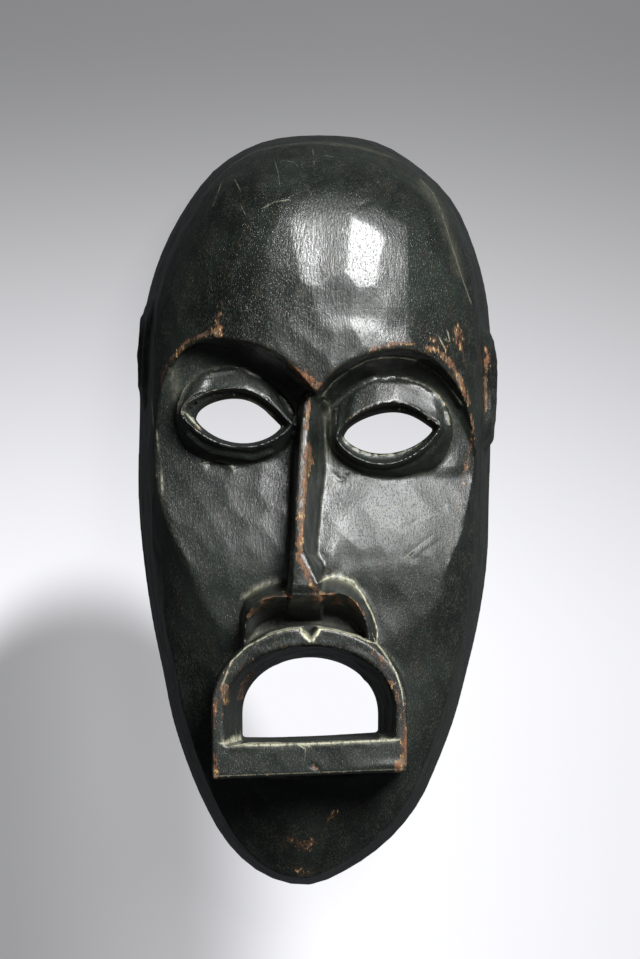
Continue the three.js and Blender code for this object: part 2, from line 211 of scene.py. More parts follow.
# %% The first rasping
BROAD_PASSES = 60
points = rasped(points, 1, 0.3)
normals = facing(points)
turn = np.sqrt(np.clip(1 - (rasped(normals, 4) ** 2).sum(1), 0, 1))
crisp = step(0.10, 0.2, turn)
for _ in range(2):
    crisp = np.maximum(crisp, neighbour_mean(crisp))
broad = 1 - crisp
points = rasped(points, BROAD_PASSES, 0.5 * broad[:, None])
points = rasped(points, 1, 0.3)
normals = facing(points)
soft_normals = unit(rasped(normals, 12))
print("broad share of the skin:", round(float(broad.mean()), 2))

# %% [markdown]
# ## The wearer's side
# The hollow behind the face gets rougher tool marks and no paint, so each point has to know
# whether it is inside. From inside, a plumb line drops to the table without meeting the wood.
# From the face and the leaning outer walls it meets the mask itself.

# %% Inside and outside
skin_tree = BVHTree.FromPolygons(points.tolist(), triangles.tolist())
down = Vector((0, 0, -1))
# The line starts a little off the skin, so that it doesn't meet its own point.
LIFT = 0.4
lifted = points + LIFT * normals
inside = np.array([skin_tree.ray_cast(Vector(spot), down)[0] is None for spot in lifted], float)
inside[(normals[:, 2] > 0.1) | (points[:, 2] > 90)] = 0
inside = rasped(inside, 6)
outside = 1 - inside
x, y, z = points.T
print("inside share of the skin:", round(float(inside.mean()), 2))

# %% [markdown]
# ## Flat knife cuts
# A blade leaves a face of small flat or barely hollow cuts that meet in soft ridges. Each cut gets
# a seed on the skin, and a point sinks or rises like the nearest cut, whose depth grows with the
# distance from its seed. Cuts are longer than wide, because the blade follows the grain.

# %% Cuts around seeds
def scattered(spots, gap):
    """The numbers of spots that lie at least a gap apart."""
    tree = kdtree.KDTree(len(spots))
    for index, spot in enumerate(spots):
        tree.insert(spot, index)
    tree.balance()
    free = np.ones(len(spots), bool)
    kept = []
    for index, spot in enumerate(spots):
        if free[index]:
            kept.append(index)
            free[[near for _, near, _ in tree.find_range(spot, gap)]] = False
    return kept


# How far apart the seeds lie, in cut sizes, and how many spots are tried for them.
SEED_GAP, TRIES = 0.6, 5000
# The ridges between cuts are rounded by a smooth choice of the least value.
BLEND = 0.02
# The skin is worked through in parts, because all its points at once would fill the memory.
PARTS = 60
# No hand cuts a straight line: the bounds of the cuts waver by a millimetre.
unsteady = np.array([noise.noise_vector(Vector(spot) / 9) for spot in points]) * 1.4


def knife_cuts(share, size, height, uneven, lean=0.0, placed=()):
    """Moves that turn a share of the skin into cuts of a size across and along, in mm."""
    across, along = size
    turned = points + unsteady
    turned[:, 0] += lean * points[:, 1]
    scaled = turned / (across, along, across)
    reached = np.nonzero(share > 0.2)[0]
    # Cuts at given places come first, so that the random ones keep clear of them.
    first = [reached[((points[reached, :2] - cut[:2]) ** 2).sum(1).argmin()] for cut in placed]
    pool = np.concatenate([first, chance.choice(reached, TRIES)]).astype(int)
    kept = scattered(scaled[pool], SEED_GAP)
    seeds, middles = scaled[pool][kept], points[pool][kept][:, :2]
    depth = chance.normal(0, uneven, len(seeds))
    # A placed cut also has a slope of its own to the right and up.
    slope = np.zeros((len(seeds), 2))
    for row, index in enumerate(kept):
        if index < len(first):
            slope[row], depth[row] = placed[index][2:4], placed[index][4]
    moved = np.zeros(count)
    chosen = np.nonzero(share > 0.01)[0]
    for part in np.array_split(chosen, PARTS):
        away = ((scaled[part, None] - seeds) ** 2).sum(2) * height * 4 + depth
        away += ((points[part, None, :2] - middles) * slope).sum(2)
        least = away.min(1)
        moved[part] = least - BLEND * np.log(np.exp((least[:, None] - away) / BLEND).sum(1))
    moved[chosen] -= moved[chosen].mean()
    return moved * share


print("points on the skin:", count)

# %% [markdown]
# ## One blade for each part of the face
# The forehead was cut in broad long strokes, the cheeks in smaller ones that lean, and the side
# walls in narrow ones. So the skin is first split into zones, each a share between 0 and 1 that
# fades out at its bounds.

# %% The zones
steepness = soft_normals[:, 2]
front = outside * step(0.25, 0.5, steepness)
forehead = front * broad * step(74, 84, y)
face = front * broad * (1 - step(74, 84, y)) * (1 - step(-100, -120, y))
chin = front * broad * step(-104, -116, y)
flanks = outside * (1 - step(0.25, 0.5, steepness)) * broad * step(8, 16, z)
# The blade was held still near the holes, which have clean edges.
near_mouth = step(-112, -104, y) * (1 - step(-58, -50, y)) * (1 - step(40, 48, np.abs(x + 3)))
near_eyes = step(14, 20, y) * (1 - step(58, 64, y))
near_eyes = near_eyes * step(2, 8, np.abs(x)) * (1 - step(60, 66, np.abs(x)))
still = np.maximum(near_mouth, near_eyes) * step(18, 30, z)
zones = {"forehead": forehead, "face": face, "chin": chin, "flanks": flanks, "still": still}
print({name: round(float(share.mean()), 3) for name, share in zones.items()})

# %% [markdown]
# ## The cuts that catch the light
# Random cuts look right nearly everywhere. The few that flash on the forehead and the right cheek
# are what one remembers of this mask, so they get places and slopes of their own.

# %% The cuts
# x, y in mm, the slope to the right and up, and the height in mm.
FOREHEAD_CUTS = [
    # The bright cut, the tongue below it, and the cuts round them.
    (21.5, 108, 0.04, -0.02, 0.0), (7.7, 128.5, 0.07, 0.05, -0.39), (34.5, 121.6, 0.10, 0.0, 0.77),
    (21, 82.8, 0.0, 0.03, -0.07), (7.7, 85.9, 0, 0, -0.24), (38.5, 81.1, 0.08, 0.04, 0.5),
    (31, 137, 0.02, -0.03, -0.3), (-12, 112, 0, 0, 0), (-14, 92, 0, 0, 0), (-30, 100, 0, 0, 0),
]
CHEEK_CUTS = [
    (15, 12, 0.03, 0, 0), (30, 0, 0, 0, 0), (18, -9, 0, 0, 0), (45, 12, -0.03, 0, 0),
    (42, -9, -0.02, 0, 0), (-30, 4, 0, 0, 0), (-46, 8, 0, 0, 0), (-24, -14, 0, 0, 0),
]
# Each call gives the size across and along, the height, the unevenness and the lean.
moved = knife_cuts(forehead, (20, 34), 0.62, 0.12, 0, FOREHEAD_CUTS)
moved += knife_cuts(face, (16, 21), 0.4, 0.08, 0.4, CHEEK_CUTS)
moved += knife_cuts(chin, (14, 18), 0.45, 0.1)
moved += knife_cuts(flanks, (13, 24), 0.5, 0.12)
moved += knife_cuts(inside * step(3, 9, z) * (1 - still), (10, 19), 0.8, 0.16)
# The crisp parts keep their edges, and only waver a little as a blade does.
moved += knife_cuts(outside * crisp * step(3, 9, z) * (1 - still), (7, 9), 0.1, 0.03)
print("deepest and highest cut in mm:", round(float(moved.min()), 2), round(float(moved.max()), 2))

# %% [markdown]
# ## Cheeks that bend away
# The right cheek bends away to the side and both cheeks below the eyes, so that they fall into
# shade. The solid is flatter there. Lowering the skin along smooth steps bends it without an edge.
# A slow waver of a tenth of a millimetre keeps the whole face from looking machined.

# %% The bends and the waver
# How far the skin sinks to the right and downwards, and how far it wavers, in mm.
RIGHT_BEND, LOW_BEND, WAVER = 1.6, 1.3, 0.1
cheeks = outside * step(0.05, 0.3, steepness) * (1 - still)
to_the_side = np.clip((x - 24) / 32, 0, 1) ** 2
downwards = np.clip((8 - y) / 28, 0, 1) ** 2
moved -= cheeks * RIGHT_BEND * to_the_side * (1 - step(16, 30, y)) * step(-40, -16, y)
moved -= cheeks * LOW_BEND * downwards * step(-46, -20, y) * step(6, 12, np.abs(x))
waver = np.array([noise.noise(Vector(spot) / 13) for spot in points])
moved += step(3, 9, z) * (1 - 0.6 * still) * WAVER * waver
points = points + moved[:, None] * soft_normals
print("all the moves in mm:", round(float(moved.min()), 2), "to", round(float(moved.max()), 2))

# %% [markdown]
# ## Lines on the face
# Creases, chips and scratches are drawn as lines on the front, seen from straight above, in mm
# from the middle of the mask. Each line finds the points beside it and how far off they are.

# %% Points beside a line
def beside(line, reach, spots, allowed):
    """The spots near a line: their numbers, distance, side, and the line's third value there."""
    line = np.array(line, float)
    if line.shape[1] == 2:
        line = np.column_stack([line, np.ones(len(line))])
    low, high = line[:, :2].min(0) - reach, line[:, :2].max(0) + reach
    flat = spots[:, :2]
    near = np.nonzero(((flat > low) & (flat < high)).all(1) & allowed)[0]
    best = np.full(len(near), np.inf)
    side = np.zeros(len(near))
    third = np.zeros(len(near))
    for begin, end in zip(line[:-1], line[1:]):
        way = end[:2] - begin[:2]
        share = np.clip((flat[near] - begin[:2]) @ way / (way @ way), 0, 1)
        gap = flat[near] - begin[:2] - share[:, None] * way
        away = np.linalg.norm(gap, axis=1)
        closer = away < best
        best[closer] = away[closer]
        side[closer] = (gap @ np.array((-way[1], way[0])) / np.linalg.norm(way))[closer]
        third[closer] = (begin[2] + share * (end[2] - begin[2]))[closer]
    return near, best, side, third


on_face = (outside > 0.5) & (z > 25)


def carve(line, width, height):
    """Raises, or with a negative height cuts, a line into the skin."""
    near, away, _, third = beside(line, width, points, on_face)
    moved[near] += height * third * np.clip(1 - away / width, 0, 1)


print("points on the face:", int(on_face.sum()))

# %% Creases, ledges and chips
# (half width, height, points) in mm.
LINES = [
    # The thin ledge under the right brow.
    (1.0, 1.5, [(2.6, 49.7), (5.6, 53.2), (10.7, 58.2), (16.6, 62.7), (23.5, 65.6), (30.4, 66.2),
                 (37.4, 66.0), (44.4, 64.0), (50.5, 61.1), (55.8, 56.0), (60.2, 50.9),
                 (62.9, 46.6)]),
    # The chip under the left eye, and the fold of its lower lid.
    (3.0, -0.7, [(-46.5, 20.2), (-42.5, 19.5), (-39.6, 18.2)]),
    (0.7, 0.5, [(-49.4, 21.6), (-45.5, 22.5), (-41.5, 22.3), (-38.0, 20.6), (-36.2, 18.2)]),
    (1.2, 0.9, [(-56, 33.5), (-50.6, 28.6), (-45, 25.6), (-37.6, 24.2), (-27.7, 22.8),
                (-19.6, 25.6)]),
    (1.1, -0.5, [(-55, 35.0), (-49.8, 30.6), (-44.2, 27.6), (-37.0, 26.2), (-27.7, 24.8),
                 (-20, 27.4)]),
    # Knife cuts on the right cheek.
    (1.0, -0.16, [(38.7, -19.1), (44.4, -14.4), (49.2, -11.0)]),
    (1.0, -0.16, [(41.3, -21.3), (47.8, -16.1), (53.1, -12.7)]),
    (1.0, -0.12, [(28.9, -0.6), (35.0, 2.4), (41.5, 4.5)]),
    (1.0, -0.14, [(37.5, -7.1), (46.2, -2.4), (55.9, 2.3)]),
    (1.1, -0.5, [(7.3, 16.2), (9.9, 13.6), (11.7, 14.0)]),
    # A nick on the nose, a knock in the sill and a crack under the right brow.
    (1.1, -0.6, [(-6.0, 41.4), (-4.3, 38.8), (-2.6, 38.9)]),
    (1.8, -0.8, [(-1.8, -107.6), (0.4, -109.4)]),
    (1.0, -0.4, [(27.1, 60.6), (32.3, 60.6), (36.7, 58.1), (39.3, 58.2)]),
    # One long cut on the forehead.
    (1.4, -0.3, [(18.3, 130.5), (23.5, 133.3), (27.0, 135.8)]),
]

# %% [markdown]
# ## Facets on the lids and on the tip of the nose
# Each upper lid is cut in two facets that meet in a ridge. Two flat cuts would be easy as planes,
# but the lid is bowed, so the facets tilt the skin that is there instead of replacing it.

# %% The facets
# x of the ridge, how far the left facet reaches, and how much the skin rises per millimetre away
# from the ridge, to the left and to the right.
LID_RIDGES = [(34.5, 9, 0.13, -0.12), (-30.5, 19, -0.09, -0.09)]
# How far the right facets reach, in mm.
RIGHT_REACH = 9
# How much the front of the nose's tip rises per millimetre upwards, about a line at this y.
TIP_TILT, TIP_LINE = 0.18, -26
moved = np.zeros(count)
on_lid = near_eyes * on_face * step(71.5, 73, z) * step(0.80, 0.88, normals[:, 2]) * (y > 38)
for ridge, left_reach, left, right in LID_RIDGES:
    gap = np.clip(x - ridge, -left_reach, RIGHT_REACH)
    moved += rasped(on_lid, 2) * (ridge * x > 0) * np.where(gap < 0, -left * gap, right * gap)
tip = (np.abs(x + 5) < 9) * step(93, 97, z) * step(-38, -35, y) * (1 - step(-19, -15, y))
moved += rasped(tip, 3) * TIP_TILT * (y - TIP_LINE)
for width, height, line in LINES:
    carve(line, width, height)
print("lines carved:", len(LINES))

# %% [markdown]
# ## The bevels of the eyes
# A beaded line runs along the lower bevel of the right eye, on the slope that leads to the hole.
# A groove lies above it and along the upper bevels of both eyes, which have single beads too.
# Line and groove follow the height above the table, because the rims are nearly level.

# %% Grooves and beads
# x, y of the single beads in mm.
BEADS = [
    (35.5, 44.4), (37.5, 44.2), (39.9, 43.8), (42.2, 42.9), (44.4, 42.0), (46.1, 40.8),
    (48.1, 40.1),
    (-53.7, 45.2), (-51.2, 47.3), (-44.7, 49.9), (-36.1, 50.6),
]
BEAD_HEIGHT, BEAD_RADIUS = 0.9, 0.95
# z of the beaded line and of the groove, their half widths, and the groove's depth.
LINE_Z, LINE_HALF = 70.4, 0.9
GROOVE_Z, GROOVE_HALF, GROOVE_DEPTH = 72.6, 1.6, 0.9
bevel = near_eyes * step(66.5, 67.5, z) * (1 - step(75.2, 76.2, z)) * (np.abs(x) > 8)
bevel *= step(0.15, 0.3, normals[:, 2]) * (1 - step(0.62, 0.75, normals[:, 2]))
# The lower bevel of the left eye is left out, because its rim is broken there.
bevel *= 1 - (x < 0) * (1 - step(34, 40, y + 0.09 * (x + 34)))
beads = np.array([noise.noise(Vector(spot) / 1.7) for spot in points])
rim = bevel * (normals[:, 1] > 0) * (0.8 + 0.8 * beads)
rim = rim * np.clip(1 - np.abs(z - LINE_Z) / LINE_HALF, 0, 1)
rim -= bevel * np.clip(1 - np.abs(z - GROOVE_Z) / GROOVE_HALF, 0, 1) * GROOVE_DEPTH
on_bevel = np.nonzero((bevel > 0.4) & (z > 71))[0]
for bead in BEADS:
    middle = points[on_bevel[((points[on_bevel, :2] - bead) ** 2).sum(1).argmin()]]
    away = ((points - middle) ** 2).sum(1)
    rim += BEAD_HEIGHT * np.clip(1 - away / BEAD_RADIUS ** 2, 0, 1)
points = points + moved[:, None] * soft_normals + rim[:, None] * normals
points = rasped(points, 1, 0.15)
normals = facing(points)
x, y, z = points.T
print("points raised or sunk by more than 0.3 mm:", int((np.abs(rim) > 0.3).sum()))

# %% [markdown]
# ## Where hands wore the paint off
# Paint goes first from the edges that hands and cloths touch. The curve of the skin finds edges
# everywhere, and the list adds the places that this mask is worn at, as lines with a half width.

# %% The map of wear
# (strength, [(x, y, half width), ...]) in mm.
WORN_LINES = [
    # Brows.
    (1.0, [(-42.7, 90.5, 0.5), (-41.8, 82.8, 0.9), (-41.8, 75.9, 1.5)]),
    (0.8, [(-68.2, 57.0, 0.9), (-65.4, 63.0, 0.9), (-56.3, 72.9, 0.7), (-48.4, 76.1, 1.0),
           (-44.0, 77.2, 1.3)]),
    (0.8, [(-13.2, 63.8, 0.5), (-8.1, 59.4, 1.1), (-3.8, 55.2, 1.7)]),
    (0.85, [(-5.5, 58.6, 1.7), (-1.3, 54.3, 2.1), (1.3, 53.5, 1.5)]),
    (0.75, [(23.3, 69.2, 0.9), (29.3, 71.0, 1.1), (35.3, 71.9, 0.9), (41.4, 72.0, 0.6)]),
    (1.0, [(46.6, 70.4, 1.0), (51.9, 69.3, 1.3), (55.4, 66.0, 1.3), (59.4, 61.0, 1.1),
           (62.6, 55.1, 1.3), (65.9, 47.0, 0.9)]),
    (0.95, [(60.2, 79.6, 2.0), (61.4, 75.4, 2.2), (62.7, 71.0, 1.3)]),
    (0.62, [(63.2, 67.3, 1.0), (64.5, 62.1, 0.8), (65.6, 56.0, 0.9)]),
    (0.6, [(49.5, 74.5, 1.6), (55.5, 71.5, 1.6)]),
    (0.8, [(54.2, 79.4, 0.9), (55.5, 77.7, 0.6)]),
    # Ears and sides.
    (1.0, [(74.6, 72.3, 0.9), (74.7, 59.6, 0.9), (74.8, 45.5, 0.8)]),
    (0.62, [(67.3, 41.4, 0.8), (67.5, 30.1, 0.9), (65.7, 24.1, 0.9), (63.4, 11.0, 0.5),
            (60.7, 2.8, 0.7), (60.1, -8.0, 0.5), (58.3, -15.8, 0.6)]),
    (0.45, [(-52.6, 37.4, 0.9), (-50.5, 34.7, 0.7)]),
    # Nose.
    (0.8, [(-3.4, 49.6, 0.9), (-3.9, 42.7, 1.1), (-4.7, 35.8, 1.1)]),
    (1.25, [(-3.8, 28.1, 1.3), (-3.8, 21.3, 1.7), (-5.1, 16.2, 1.4)]),
    (0.85, [(-5.5, 14.5, 1.7), (-6.4, 0.9, 1.5), (-7.2, -11.8, 1.3), (-8.0, -21.1, 1.0)]),
    (0.95, [(-7.2, -21.1, 1.3), (-4.6, -25.3, 1.1), (-2.1, -30.3, 1.3), (0.4, -36.3, 2.0)]),
    # The hood of the nostrils.
    (0.85, [(-29.4, -44.7, 0.9), (-25.9, -40.8, 1.0), (-21.6, -37.3, 1.3), (-17.4, -36.0, 0.9)]),
    (0.8, [(-13.9, -35.0, 1.1), (-10.6, -35.8, 1.1)]),
    (1.0, [(2.1, -35.8, 1.5), (6.4, -36.5, 1.9), (10.7, -38.8, 1.4)]),
    (0.95, [(14.0, -37.4, 0.9), (17.0, -40.5, 1.1), (19.2, -43.5, 0.9)]),
    # Lips and sill.
    (0.95, [(-39.0, -74.6, 1.5), (-38.7, -80.3, 1.5)]),
    (0.65, [(-36.0, -64.4, 0.5), (-40.3, -72.9, 0.8), (-42.8, -81.4, 0.9), (-43.7, -89.9, 0.9)]),
    (0.9, [(-27.9, -68.9, 1.1), (-31.1, -74.4, 1.4), (-33.3, -80.7, 1.1)]),
    (0.7, [(23.3, -59.7, 0.9), (26.7, -61.8, 1.1), (29.2, -66.1, 0.6)]),
    (0.75, [(29.3, -72.2, 1.0), (32.6, -72.4, 1.0)]),
    (0.8, [(33.5, -75.4, 0.9), (35.2, -82.2, 1.0), (36.9, -89.9, 0.9), (37.3, -97.5, 1.4),
           (37.3, -104.3, 1.4)]),
    (1.1, [(36.9, -105.2, 1.9), (35.2, -107.7, 2.1), (34.4, -109.4, 1.3)]),
    (0.85, [(-42.8, -104.3, 0.9), (-42.8, -112.0, 1.1)]),
    (0.7, [(-1.3, -108.2, 1.1), (0.0, -109.0, 0.9)]),
    # Chin.
    (0.62, [(4.8, -134.1, 1.7), (7.4, -130.9, 1.7)]),
    (0.68, [(-16.2, -146.4, 1.7), (-10.9, -142.7, 2.3), (-5.7, -147.3, 2.1), (-2.2, -144.5, 1.5)]),
    (0.6, [(-14.5, -155.7, 1.3), (-7.5, -158.5, 1.5), (-1.4, -158.5, 1.3)]),
    # Forehead and cheek.
    (0.4, [(-7.2, 92.9, 1.9), (-4.7, 96.8, 1.9)]),
    (0.5, [(3.4, 101.5, 1.1), (3.6, 102.0, 1.1)]),
    (0.6, [(31.5, 99.2, 1.3), (31.7, 99.6, 1.3)]),
    (0.6, [(14.2, -15.6, 1.1), (17.2, -16.5, 1.1)]),
]
WEAR_REACH = 6
stands_out = ((points - rasped(points, 12)) * normals).sum(1)
edges = outside * step(0.10, 0.42, stands_out)
worn = 0.3 * edges
blotches = np.array([noise.noise(Vector(spot) / 4.5) for spot in points])
for strength, line in WORN_LINES:
    near, away, _, width = beside(line, WEAR_REACH, points, on_face)
    uneven = 0.78 + 0.3 * edges[near] + 0.5 * blotches[near]
    there = strength * (1 - step(0.4, 1.9, away / width)) * uneven
    worn[near] = np.maximum(worn[near], there)
print("worn share of the skin:", round(float((worn > 0.5).mean()), 4))

# %% [markdown]
# ## Where dust stays
# Dust lies in hollows that a cloth doesn't reach. A wide rasp fills hollows, so the gap between the
# rasped skin and the real one measures them. The list adds the creases where most of it lies. The
# raised beads in the eyes get the same pale film as a painted highlight.

# %% The map of dust and of the painted glints on the beads
# (strength, [(x, y, half width), ...]) in mm.
DUST_LINES = [
    # Beside and on the hood of the nostrils.
    (0.36, [(2.8, -29.1, 1.2), (7.9, -27.8, 1.9), (15.4, -30.5, 1.7), (20.1, -36.7, 1.0)]),
    (0.25, [(-31.4, -36.8, 1.2), (-26.0, -33.0, 1.5), (-21.1, -31.1, 1.5), (-16.3, -30.0, 1.3)]),
    # Along the top of the lips.
    (0.5, [(-6.0, -50.4, 0.8), (-2.5, -54.6, 1.2), (0.6, -50.2, 0.8)]),
    # At the outer ends of the sockets and beside the nose.
    (0.1, [(-62.8, 60.4, 2.6), (-61.2, 51.8, 2.6), (-58.1, 42.9, 2.1)]),
    (0.08, [(1.9, 48.9, 1.0), (5.4, 46.0, 1.2), (5.8, 28.8, 1.0), (5.8, 9.3, 1.0)]),
    # On the sill and its left end.
    (0.7, [(-39.7, -98.2, 0.8), (-35.0, -98.0, 1.4), (-30.0, -98.4, 0.9)]),
    (0.4, [(-30.0, -98.4, 0.9), (-3.1, -98.4, 0.9), (18.5, -97.3, 0.9), (33.0, -96.6, 0.9)]),
    # Along the shoulder of the crown.
    (0.06, [(46.2, 143.4, 3.0), (54.1, 130.5, 3.0), (58.7, 115.8, 2.8), (62.6, 102.8, 2.4)]),
]
DUST_REACH = 8
sinks_in = ((rasped(points, 50) - points) * normals).sum(1)
dust_and_glints = 0.12 * step(0.5, 1.8, sinks_in) * outside * step(-0.2, 0.4, normals[:, 2])
for strength, line in DUST_LINES:
    near, away, _, width = beside(line, DUST_REACH, points, on_face)
    off = away / width
    there = strength * (1.15 - 0.85 * step(0.1, 1.0, off)) * (1 - step(0.9, 1.6, off))
    dust_and_glints[near] = np.maximum(dust_and_glints[near], there)
# Dust also greys the beads in the eyes, which paints their highlights too, and bare wood holds
# little of it.
dust_and_glints = np.maximum(dust_and_glints, 0.4 * step(0.2, 0.55, rim))
dust_and_glints = dust_and_glints * (1 - 0.8 * np.clip(worn, 0, 1))
print("dusty share of the skin:", round(float((dust_and_glints > 0.3).mean()), 4))

# %% [markdown]
# ## Where the paint lost its gloss
# The forehead is polished by hands. Below the brows the paint is duller, more so on the right
# cheek and the right half of the right lid, and under the hood of the nostrils it is sooty and
# has no gloss at all. One map of dullness is simpler than a second paint.

# %% The map of dull paint
matt = 0.13 * (1 - step(50, 74, y)) + 0.12 * (1 - step(10, 22, y)) * step(8, 20, x)
matt += 0.2 * rasped(on_lid, 2) * step(34.2, 35.2, x)
under_hood = step(-54, -50, y) * (1 - step(-41, -38, y)) * (1 - step(24, 28, np.abs(x + 4)))
matt = np.maximum(matt, under_hood * (z < 88))
print("dull share of the skin:", round(float((matt > 0.1).mean()), 3))

# %% [markdown]
# ## Fewer faces where the form is plain
# The net has to be thinned to stay a mesh that others can use. Decimation takes points away where
# the form is flattest, so the edges and the cuts keep theirs.

# %% The thinned mesh
MOST_TRIANGLES = 192000
mesh.vertices.foreach_set("co", (points * MM).ravel())
mesh.update()
dense = kdtree.KDTree(count)
for index, spot in enumerate(points * MM):
    dense.insert(spot, index)
dense.balance()
thin = carving.modifiers.new("thin", "DECIMATE")
thin.ratio = MOST_TRIANGLES / len(triangles)
apply_modifiers(carving)
carving.data.calc_loop_triangles()
print("thinned:", len(carving.data.loop_triangles), "triangles")

# %% [markdown]
# ## What the paint has to know
# The finish reads four numbers at each point: how worn it is, how much dust, with the painted
# glints, lies on it, how dull
# its paint is, and whether it is inside. They were worked out on the dense net, so each point of
# the thinned mesh takes them from the nearest point there.

# %% Numbers for the finish
def store(mesh, name, values):
    """Keeps one number per point under a name."""
    layer = mesh.attributes.new(name, "FLOAT", "POINT")
    layer.data.foreach_set("value", values.astype(np.float32))


# The paint reaches round into the mouth and the eyes, as far as a brush does.
painted = np.maximum(near_mouth * step(36, 46, z), near_eyes * step(56, 62, z))
maps = {"worn": worn, "dust_and_glints": dust_and_glints, "matt": matt, "inside": inside * (1 - painted)}
nearest = [dense.find(vertex.co)[1] for vertex in carving.data.vertices]
for name, values in maps.items():
    store(carving.data, name, np.clip(values[nearest], 0, 1))
for polygon in carving.data.polygons:
    polygon.use_smooth = True
print({name: round(float(values.mean()), 3) for name, values in maps.items()})

# %% [markdown]
# ## Thin pale lines
# A scratch, the dust in a crease and a painted highlight on a thin edge are thinner than the faces
# of the mesh, so none can be a
# groove of its own. Each point beside such a line stores how far to the left or right of it the
# point lies, in half widths. That number changes evenly over a face, so the paint finds the line
# where it passes through nought, as thin as we like.

# %% The map of thin lines
# (strength, half width in mm, [(x, y), ...]).
THIN_LINES = [
    # Scratches on the crown, the left side and the sill.
    (0.16, 0.15, [(-17.8, 149.9), (-16.8, 146.3), (-16.3, 142.4)]),
    (0.14, 0.15, [(-13.0, 151.7), (-9.5, 151.2), (-8.7, 149.7)]),
    (0.2, 0.15, [(-1.8, 156.4), (-1.3, 151.6)]),
    (0.16, 0.13, [(2.1, 154.8), (5.2, 154.2)]),
    (0.2, 0.3, [(-22.2, 130.2), (-18.4, 132.3), (-13.2, 133.1)]),
    (0.2, 0.25, [(-44.7, 133.7), (-43.5, 137.5), (-42.3, 141.3)]),
    (0.2, 0.2, [(-32.1, 130.2), (-31.2, 128.3)]),
    (0.2, 0.2, [(-35.1, 142.7), (-34.1, 140.6)]),
    (0.2, 0.4, [(-69.6, 33.0), (-69.0, 27.4)]),
    (0.3, 0.5, [(-67.6, 16.0), (-67.2, 9.0)]),
    (0.4, 0.3, [(-72.1, 46.4), (-71.6, 39.8)]),
    (0.35, 0.25, [(56.4, 76.9), (56.8, 75.2)]),
    (0.35, 0.25, [(53.2, 73.3), (54.1, 71.6)]),
    (0.25, 0.2, [(-5.1, -98.8), (-4.7, -101.8), (-5.1, -104.3)]),
    # The edge of the ledge under the right brow, a pale line that paints the highlight its edge
    # catches.
    (0.25, 0.32, [(1.9, 49.4), (7.3, 55.9), (14.3, 60.9), (21.3, 64.3), (28.3, 65.9), (35.4, 66.1),
                  (41.8, 65.0), (47.4, 62.8), (53.0, 58.6), (57.8, 53.2), (62.6, 46.9)]),
    # The creases of the hood.
    (0.75, 0.35, [(2.8, -29.1), (7.9, -27.3), (15.4, -29.7), (20.1, -36.7), (23.8, -44.2),
                  (26.2, -51.8), (25.7, -56.4)]),
    (0.28, 0.35, [(-31.4, -36.8), (-26.0, -33.0), (-21.1, -31.1), (-16.3, -30.6)]),
    # The top edge of the lips and their notch.
    (0.55, 0.3, [(-39.6, -71.9), (-36.4, -63.5), (-29.9, -57.1), (-19.9, -51.8), (-12.5, -49.9),
                 (-7.0, -49.4)]),
    (1.0, 0.5, [(-7.0, -49.6), (-5.9, -51.6), (-2.5, -55.4), (0.4, -51.6), (1.3, -49.4)]),
    (0.6, 0.3, [(1.3, -49.2), (7.8, -50.2), (17.2, -52.9), (25.7, -56.9), (30.1, -62.3),
                (33.6, -68.2), (35.9, -75.6), (36.9, -84.8)]),
    # The sill, its left end, and the lower edge of the bar.
    (0.6, 0.4, [(-39.7, -98.2), (-33.5, -98.9), (-14.6, -98.7), (3.3, -98.1), (18.0, -97.4),
                (33.6, -96.6)]),
    (0.2, 0.25, [(-41.2, -112.0), (-10.6, -110.9), (35.5, -109.1)]),
    # Round the left eye: the outer corner, the inner bevel, whose pale line is a painted highlight,
    # and the chip below.
    (0.5, 0.4, [(-55.8, 41.6), (-53.6, 39.1), (-51.3, 36.6)]),
    (1.0, 0.8, [(-28.3, 47.4), (-24.2, 45.0), (-20.3, 42.0)]),
    (0.3, 0.25, [(-49.4, 21.0), (-45.5, 21.9), (-41.5, 21.7), (-38.5, 20.2), (-36.4, 18.2)]),
    # The crease beside the nose, and small cuts on the right cheek.
    (0.2, 0.3, [(1.9, 48.9), (5.4, 46.0), (5.8, 37.4), (5.6, 28.8), (5.4, 20.1), (5.8, 9.3)]),
    (0.25, 0.15, [(38.7, -19.1), (44.4, -14.4), (49.2, -11.0)]),
    (0.25, 0.15, [(28.9, -0.6), (35.0, 2.4), (41.5, 4.5)]),
    (0.2, 0.15, [(37.5, -7.1), (46.2, -2.4), (55.9, 2.3)]),
    # The shoulder of the crown.
    (0.05, 0.9, [(-51.5, 138.0), (-39.2, 151.7), (-27.3, 159.1), (-2.7, 162.2), (16.7, 160.0),
                 (33.8, 155.2)]),
    (0.14, 0.35, [(46.2, 144.5), (50.9, 140.0), (54.1, 130.5), (58.7, 115.8), (62.6, 102.8),
                  (66.7, 92.1)]),
]
# How far to each side a line is stored, and the value of points that lie beside none, in mm.
LINE_REACH, FAR = 4, 99.0
mesh = carving.data
spots = np.empty(len(mesh.vertices) * 3)
mesh.vertices.foreach_get("co", spots)
spots = spots.reshape(-1, 3) / MM
front_spots = (inside[nearest] < 0.5) & (spots[:, 2] > 25)
line_strength = np.zeros(len(spots))
line_side = np.full(len(spots), FAR)
line_gap = np.full(len(spots), FAR)
for strength, width, line in THIN_LINES:
    near, away, side, _ = beside(line, LINE_REACH, spots, front_spots)
    closer = away < line_gap[near]
    chosen = near[closer]
    line_gap[chosen] = away[closer]
    line_side[chosen] = side[closer] / width
    line_strength[chosen] = strength * (1 - step(1.0, 2.4, away[closer]))
print("points beside thin lines:", int((line_strength > 0).sum()))
store(mesh, "line_strength", line_strength)
store(mesh, "line_side", line_side)

# %% [markdown]
# ## A node in one call
# A finish is a chain of small nodes. One function adds a node, sets it up and links its inputs, so
# that the chain reads from top to bottom. Colours are written as on a paint chart and turned to
# the linear values that the renderer works in.

